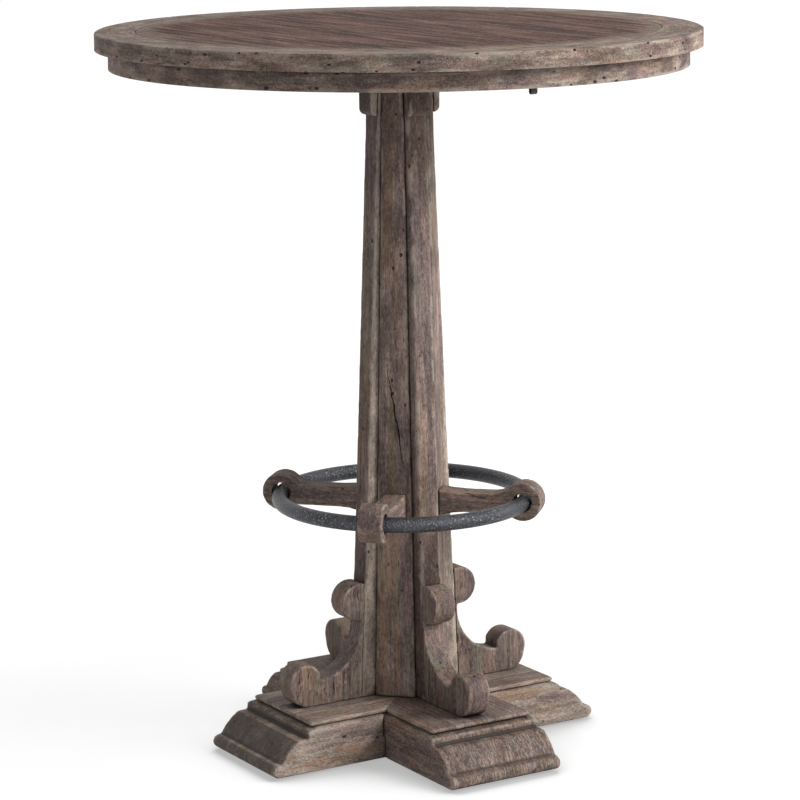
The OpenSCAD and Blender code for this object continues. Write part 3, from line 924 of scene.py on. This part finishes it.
class BARTABLE_OT_column(bpy.types.Operator):
    """Dress the wings, the corner posts and the caps of the column"""
    bl_idname = "bar_table.column"
    bl_label = "Column"
    bl_options = {"REGISTER", "UNDO"}

    def execute(self, context):
        wear = context.scene.bar_table_wear

        def foot(x, y, z):
            return z < COLUMN_FOOT + FOOT_SEAT
        # The wings get painted shade at the column's foot and under the top, and a painted
        # highlight on their long sides
        wing = weathered_wood("wing_wood", turn=UPRIGHT, ochre=0.4, green=0.45, rose=0.5,
                              pale=0.5, holes=0.15, column_shade=(0.85, 0.75), side_highlight_and_bleach=0.85,
                              cloudy=0.24)
        for i, side in enumerate(SIDES):
            worn_copy("wing_" + side, wing, wear.column_grid, passes=8, seed=30 + i, low=0.5,
                      knocks=0.7, seat=foot)
        # The posts get a painted shadow of the table's top towards their heads
        post = weathered_wood("post_wood", turn=UPRIGHT, shift=(0.0, 0.2, 0.5), tone=0.03,
                              violet=0.5, green=0.45, pale=0.5, holes=0.15, column_shade=(0.0, 0.65),
                              cloudy=0.24)

        def on_post(across, z):
            return on_diagonals(across, post_face(z), z)
        for i, corner in enumerate(CORNERS):
            checks = ()
            if corner == "front_left":
                checks = [(on_post(*start), on_post(*end), (1, 1, 0), wide, deep)
                          for start, end, wide, deep in POST_CHECKS]
            worn_copy("post_" + corner, post, wear.column_grid, passes=3, seed=40 + i,
                      knocks=0.7, seat=foot, checks=checks)
        for i, side in enumerate(SIDES):
            worn_copy("wing_cap_" + side, wing, wear.small_grid, passes=5, seed=50 + i,
                      seat=lambda x, y, z: z > COLUMN_HEAD - SEAT)
        return {"FINISHED"}


class BARTABLE_OT_brackets(bpy.types.Operator):
    """Dress the four scroll brackets"""
    bl_idname = "bar_table.brackets"
    bl_label = "Scroll brackets"
    bl_options = {"REGISTER", "UNDO"}

    def execute(self, context):
        wear = context.scene.bar_table_wear
        wood = weathered_wood("bracket_wood", turn=UPRIGHT, shift=(0.4, 0.3, 0.1),
                              tone=-0.012, green=0.5, holes=0.12, speckle=0.16)

        def against(x, y, z):
            far = np.maximum(np.abs(x), np.abs(y))
            return (z < COLUMN_FOOT + SEAT) | (far < wing_face(z) + SEAT)
        left = [((-out, -HALF_BOARD, high), (-out, -HALF_BOARD, low), (0, 1, 0), wide, deep)
                for out, high, low, wide, deep in LEFT_BRACKET_CHECKS]
        front = [((-HALF_BOARD, -out, high), (-HALF_BOARD, -out, low), (1, 0, 0), wide, deep)
                 for out, high, low, wide, deep in FRONT_BRACKET_CHECKS]
        for i, (side, checks) in enumerate(zip(SIDES, ((), (), left, front))):
            worn_copy("bracket_" + side, wood, wear.small_grid, passes=7, seed=60 + i, low=0.6,
                      knocks=0.4, seat=against, checks=checks)
        return {"FINISHED"}


class BARTABLE_OT_ring_arms(bpy.types.Operator):
    """Dress the four arms of the foot ring"""
    bl_idname = "bar_table.ring_arms"
    bl_label = "Ring arms"
    bl_options = {"REGISTER", "UNDO"}

    def execute(self, context):
        wear = context.scene.bar_table_wear
        (start, start_z), (end, end_z), wide, deep = ARM_CHECK
        right = ((on_diagonals(start, ARM_SIDE, start_z), on_diagonals(end, ARM_SIDE, end_z),
                  on_diagonals(0, -1, 0), wide, deep),)

        def against(x, y, z):
            return (np.abs(x) + np.abs(y)) * math.sqrt(0.5) < post_face(z) + SEAT
        for way, corners in ((45, ("back_right", "front_left")),
                             (-45, ("back_left", "front_right"))):
            wood = weathered_wood("arm_wood_%s" % corners[0], turn=(0, 0, math.radians(-way)),
                                  shift=(0.7, 0.1, 0.2), ochre=0.45, violet=0.7, rose=0.5,
                                  holes=0.06)
            for i, corner in enumerate(corners):
                worn_copy("ring_arm_" + corner, wood, wear.small_grid, passes=7, seed=70 + i,
                          knocks=0.6, seat=against,
                          checks=right if corner == "front_right" else ())
        return {"FINISHED"}


class BARTABLE_OT_foot_ring(bpy.types.Operator):
    """Give the foot ring and the bag hook their hammered iron"""
    bl_idname = "bar_table.foot_ring"
    bl_label = "Foot ring"
    bl_options = {"REGISTER", "UNDO"}

    def execute(self, context):
        coat(["foot_ring", "bag_hook"], hammered_iron())
        return {"FINISHED"}


class BARTABLE_OT_base(bpy.types.Operator):
    """Dress the crossed beams and the boards on the feet"""
    bl_idname = "bar_table.base"
    bl_label = "Base"
    bl_options = {"REGISTER", "UNDO"}

    def execute(self, context):
        wear = context.scene.bar_table_wear
        # The last number in ends is painted light and shade: 0.40 darkens the long beam's ends, as
        # the one at -X faces away from the lamp, and 1.08 lifts the cross beam's ends above its
        # sides, whose lower tone paints their shade
        for node, turn, tone, ochre, ends in (
                ("beam_long", 0, 0.085, 0.7, ("x", 0.3, 0.40)),
                ("beam_cross", 90, -0.035, 0.4, ("y", 0.45, 1.08))):
            wood = weathered_wood(node + "_wood", turn=(0, 0, math.radians(turn)), short=2.0,
                                  shift=(0.2, 0.5, 0.1), tone=tone, ochre=ochre, violet=0.45,
                                  pale=0.65, holes=0.12, ends=ends)
            worn_copy(node, wood, wear.base_grid, passes=6, seed=80 + turn, low=0.6,
                      knocks=0.45)

        def against(x, y, z):
            near = np.minimum(np.abs(x), np.abs(y))
            far = np.maximum(np.abs(x), np.abs(y))
            under_column = ((z > COLUMN_FOOT - BOARD_SEAT) & (near < UNDER_COLUMN[0])
                            & (far < UNDER_COLUMN[1]))
            return under_column | (far - near < MITRE_SEAT)
        for sides, turn, tone in ((("right", "left"), 0, 0.055), (("front", "back"), 90, 0.025)):
            wood = weathered_wood("foot_board_%s_wood" % sides[0],
                                  turn=(0, 0, math.radians(turn)), shift=(0.5, 0.2, 0.6),
                                  tone=tone, ochre=0.45, pale=0.65)
            for i, side in enumerate(sides):
                checks = ()
                if side == "left":
                    checks = [((-BOARD_END, y, COLUMN_FOOT), (-x, y + BOARD_SLANT, COLUMN_FOOT),
                               (0, 0, -1), wide, deep) for x, y, wide, deep in BOARD_CHECKS]
                worn_copy("foot_board_" + side, wood, wear.board_grid, passes=4,
                          seed=90 + turn + i, knocks=0.5, seat=against, checks=checks)
        return {"FINISHED"}


class BARTABLE_OT_fittings(bpy.types.Operator):
    """Finish the fixings, the hidden wood and the levellers"""
    bl_idname = "bar_table.fittings"
    bl_label = "Fittings"
    bl_options = {"REGISTER", "UNDO"}

    def execute(self, context):
        zinc = plain_finish("zinc_plate", shade(150, 151, 154), 0.9, 0.32, 900.0)
        pad = plain_finish("pad_nylon", shade(52, 52, 54), 0.0, 0.55, 1200.0)
        bare = weathered_wood("bare_wood", turn=UPRIGHT, tone=0.08, ochre=0.8, violet=0.1,
                              green=0.0, rose=0.2, pale=0.3, holes=0.0, glaze_and_shade=0.3)
        coat(["block_screws", "hook_screws", "tie_rod", "rod_nuts", "rod_washers", "ring_screws",
              "lap_screws", "t_nuts"], zinc)
        coat(["leveller_" + side for side in SIDES], pad)
        coat(["mounting_block", "column_core", "bracket_dowels", "arm_dowels"], bare)
        return {"FINISHED"}


class BARTABLE_OT_stage(bpy.types.Operator):
    """Set up the camera, the lamps, the sky and the pale floor"""
    bl_idname = "bar_table.stage"
    bl_label = "Stage"
    bl_options = {"REGISTER", "UNDO"}

    def execute(self, context):
        scene = context.scene
        stage = scene.bar_table_stage
        scene.view_settings.view_transform = "Standard"
        self.camera(scene)
        self.lamp(scene, "key_lamp", KEY_PLACE, KEY_SIZE, stage.key)
        self.floor()
        self.sky(scene, stage.sky)
        return {"FINISHED"}

    def camera(self, scene):
        """The photo's camera, turned round the table's axis and then aimed."""
        turn, pitch, roll, yaw = CAMERA_TURN, CAMERA_PITCH, CAMERA_ROLL, CAMERA_YAW
        ahead = Vector((-math.sin(turn), math.cos(turn), 0))
        right = Vector((math.cos(turn), math.sin(turn), 0))
        ahead, right = (math.cos(yaw) * ahead + math.sin(yaw) * right,
                        math.cos(yaw) * right - math.sin(yaw) * ahead)
        look = math.cos(pitch) * ahead - Vector((0, 0, math.sin(pitch)))
        up = math.sin(pitch) * ahead + Vector((0, 0, math.cos(pitch)))
        right, up = (math.cos(roll) * right + math.sin(roll) * up,
                     math.cos(roll) * up - math.sin(roll) * right)
        lens = bpy.data.cameras.new("camera")
        lens.lens = CAMERA_LENS
        lens.sensor_width = 36.0
        lens.clip_end = 50.0
        camera = bpy.data.objects.new("camera", lens)
        place = Matrix((right, up, -look)).transposed().to_4x4()
        place.translation = (math.sin(turn) * CAMERA_BACK, -math.cos(turn) * CAMERA_BACK,
                             CAMERA_HEIGHT)
        camera.matrix_world = place
        scene.collection.objects.link(camera)
        scene.camera = camera

    def lamp(self, scene, name, place, size, power):
        """A round soft lamp aimed at the middle of the column."""
        data = bpy.data.lights.new(name, "AREA")
        data.shape = "DISK"
        data.size = size
        data.energy = power
        lamp = bpy.data.objects.new(name, data)
        lamp.location = place
        lamp.rotation_euler = (Vector((0, 0, 0.5)) - Vector(place)).to_track_quat(
            "-Z", "Y").to_euler()
        scene.collection.objects.link(lamp)

    def floor(self):
        """A floor that shows white but keeps a faint share of its real shading, so it carries a
        faint shadow, and whose glow an occlusion term dims near the feet as a painted contact
        shadow, while the rest of the light meets a plain pale floor."""
        bpy.ops.object.select_all(action="DESELECT")
        bpy.ops.mesh.primitive_grid_add(x_subdivisions=4, y_subdivisions=4, size=FLOOR_SIZE)
        floor = bpy.context.object
        floor.name = "floor"
        mat, web = new_material("floor_white")
        place = web.put("ShaderNodeTexCoord").outputs["Object"]
        far = web.ramp(web.vector("LENGTH", place), 0.55, 1.5)
        # Painted contact shadow: occlusion dims the glow near the feet
        contact_shadow = web.put("ShaderNodeAmbientOcclusion", {"Distance": 0.14}, samples=16)
        near = web.ramp(contact_shadow.outputs["AO"], 0.45, 0.97, 0.5, 1.0)
        pale = web.put("ShaderNodeBsdfDiffuse", {"Color": (0.78, 0.78, 0.78)})
        faint = web.put("ShaderNodeBsdfDiffuse", {"Color": (0.20, 0.20, 0.20)})
        glow = web.put("ShaderNodeEmission", {
            "Color": WHITE,
            "Strength": web.times(near, web.plus(0.86, web.times(far, 0.14)))})
        both = web.put("ShaderNodeAddShader", {0: faint.outputs[0], 1: glow.outputs[0]})
        web.show(web.put("ShaderNodeMixShader", {0: web.seen(), 1: pale.outputs[0],
                                                 2: both.outputs[0]}))
        finish(floor, mat)

    def sky(self, scene, strength):
        """Even light of the given strength from all round, seen as plain white."""
        world = bpy.data.worlds.new("soft_sky")
        scene.world = world
        world.use_nodes = True
        web = Web(world.node_tree)
        web.tree.nodes.clear()
        soft = web.put("ShaderNodeBackground", {"Color": WHITE, "Strength": strength})
        white = web.put("ShaderNodeBackground", {"Color": WHITE, "Strength": 1.0})
        web.show(web.put("ShaderNodeMixShader", {0: web.seen(), 1: soft.outputs[0],
                                                 2: white.outputs[0]}), "ShaderNodeOutputWorld")


class BARTABLE_PT_panel(bpy.types.Panel):
    """Lists the bar table's sizes, colours and steps"""
    bl_label = "Bar table"
    bl_idname = "BARTABLE_PT_panel"
    bl_space_type = "VIEW_3D"
    bl_region_type = "UI"
    bl_category = "Bar table"

    def draw(self, context):
        for name in SETTINGS:
            owner = getattr(context.scene, name)
            box = self.layout.box()
            for setting in owner.__annotations__:
                box.prop(owner, setting)
        for step in STEPS:
            self.layout.operator(step.bl_idname)


STEPS = (BARTABLE_OT_stage, BARTABLE_OT_top, BARTABLE_OT_column, BARTABLE_OT_brackets,
         BARTABLE_OT_ring_arms, BARTABLE_OT_foot_ring, BARTABLE_OT_base, BARTABLE_OT_fittings)
SETTINGS = {"bar_table_wear": BarTableWear, "bar_table_colours": BarTableColours,
            "bar_table_stage": BarTableStage}
CLASSES = (*SETTINGS.values(), *STEPS, BARTABLE_PT_panel)


def register():
    for kind in CLASSES:
        bpy.utils.register_class(kind)
    for name, kind in SETTINGS.items():
        setattr(bpy.types.Scene, name, bpy.props.PointerProperty(type=kind))


def unregister():
    for name in SETTINGS:
        delattr(bpy.types.Scene, name)
    for kind in reversed(CLASSES):
        bpy.utils.unregister_class(kind)


def main():
    register()
    for step in STEPS:
        family, name = step.bl_idname.split(".")
        getattr(getattr(bpy.ops, family), name)()


if __name__ == "__main__":
    main()
